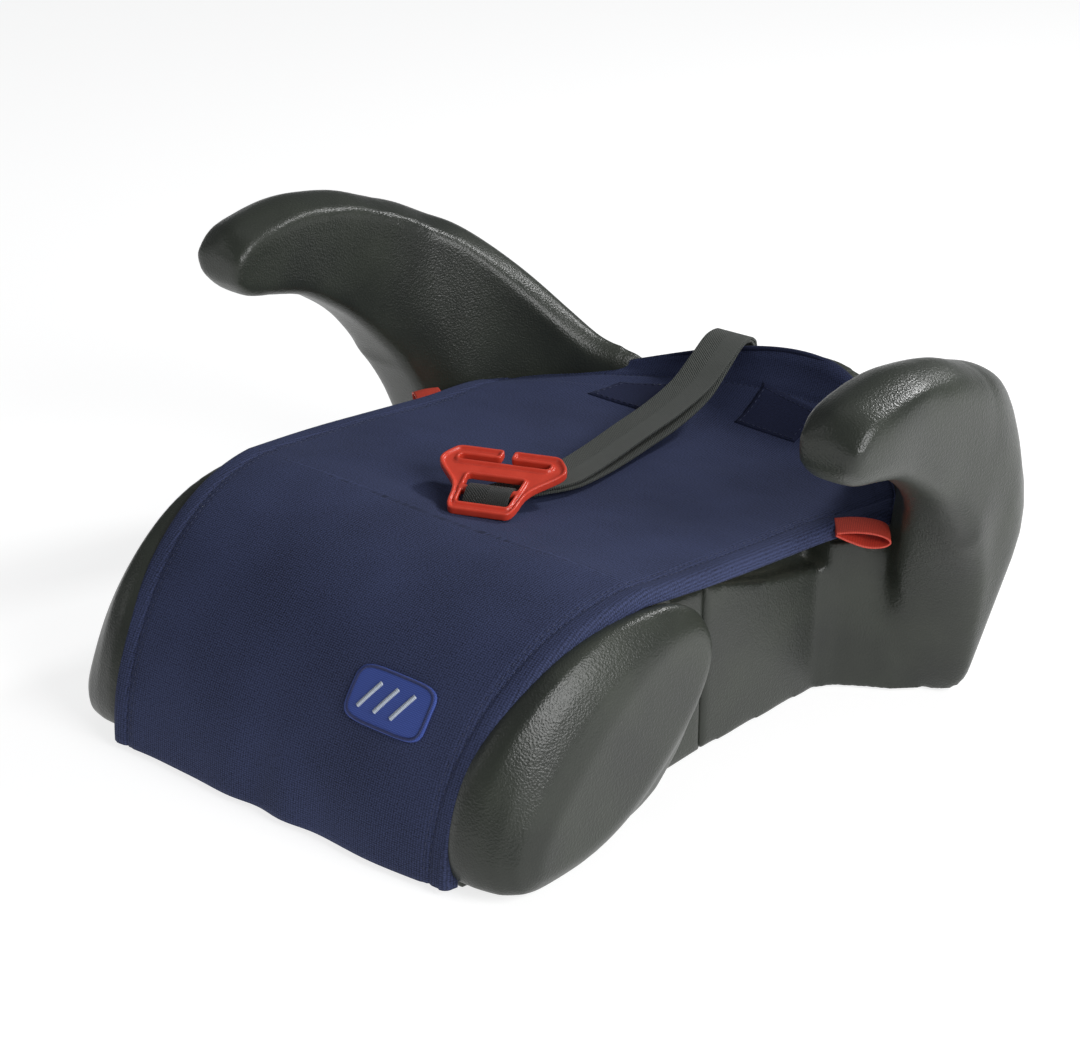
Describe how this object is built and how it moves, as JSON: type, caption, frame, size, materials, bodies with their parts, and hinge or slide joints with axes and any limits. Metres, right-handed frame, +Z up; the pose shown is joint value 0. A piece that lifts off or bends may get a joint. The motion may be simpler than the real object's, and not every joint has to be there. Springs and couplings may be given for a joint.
{
  "type": "booster seat",
  "caption": "Backless child's booster seat with two curved belt guides, padded fabric cover and a lifting strap that carries a shoulder-belt clip.",
  "frame": {"origin": "on the floor, at the middle of the seat's outer box", "axes": "+Z up, the seat faces -Y, +X is the right side seen from the front"},
  "size_m": [0.4426, 0.4093, 0.221],
  "materials": {
    "shell_plastic": "blow-moulded polyethylene, leather-grained, dark green-grey",
    "panel_plastic": "injection-moulded polypropylene, black, fine spark grain",
    "zinc_steel": "zinc-plated steel",
    "foot_rubber": "moulded anti-slip rubber",
    "foam": "polyurethane foam sheet",
    "navy_fabric": "navy knitted polyester laminated on foam",
    "dark_fabric": "dark navy reinforcement cloth",
    "patch_fabric": "plain woven patch with an embroidered border",
    "red_ribbon": "red woven polyester ribbon",
    "webbing": "grey-green woven polyester webbing",
    "red_plastic": "injection-moulded acetal, orange-red, semi-gloss"
  },
  "bodies": {
    "seat": {"front_body": "shell_plastic", "rear_body": "shell_plastic", "belt_guide_left": "shell_plastic", "belt_guide_right": "shell_plastic", "front_pod_left": "shell_plastic", "front_pod_right": "shell_plastic", "front_base_panel": "panel_plastic", "rear_base_panel": "panel_plastic", "panel_screws": "zinc_steel", "joint_bolts": "zinc_steel", "rubber_feet": "foot_rubber", "seat_pad": "foam", "seat_cover": "navy_fabric", "side_binding_left": "navy_fabric", "side_binding_right": "navy_fabric", "rear_piping": "navy_fabric", "rear_patch": "dark_fabric", "front_patch": "patch_fabric", "cover_hooks": "panel_plastic", "belt_tab_left": "red_ribbon", "belt_tab_right": "red_ribbon", "strap_tail": "webbing", "strap_anchor": "zinc_steel", "anchor_screw": "zinc_steel"},
    "strap": {"strap": "webbing"},
    "clip": {"belt_clip": "red_plastic"},
    "adjuster": {"strap_adjuster": "panel_plastic"}
  },
  "joints": [
    {"name": "strap_lift", "type": "hinge", "parent": "seat", "child": "strap", "pos_m": [-0.018, 0.2, 0.131], "axis": [-1, 0, 0], "range_deg": [0, 105]},
    {"name": "clip_swing", "type": "hinge", "parent": "strap", "child": "clip", "pos_m": [0.00766, -0.04216, 0.12284], "axis": [0.9272, 0.3746, 0], "range_deg": [0, 130]},
    {"name": "adjuster_slide", "type": "slide", "parent": "seat", "child": "adjuster", "axis": [0, 0.1848, 0.9828], "range_m": [-0.018, 0.012]}
  ],
  "couplings": [
    {"joint": "clip_swing", "follows": "strap_lift", "ratio": 1.2}
  ]
}
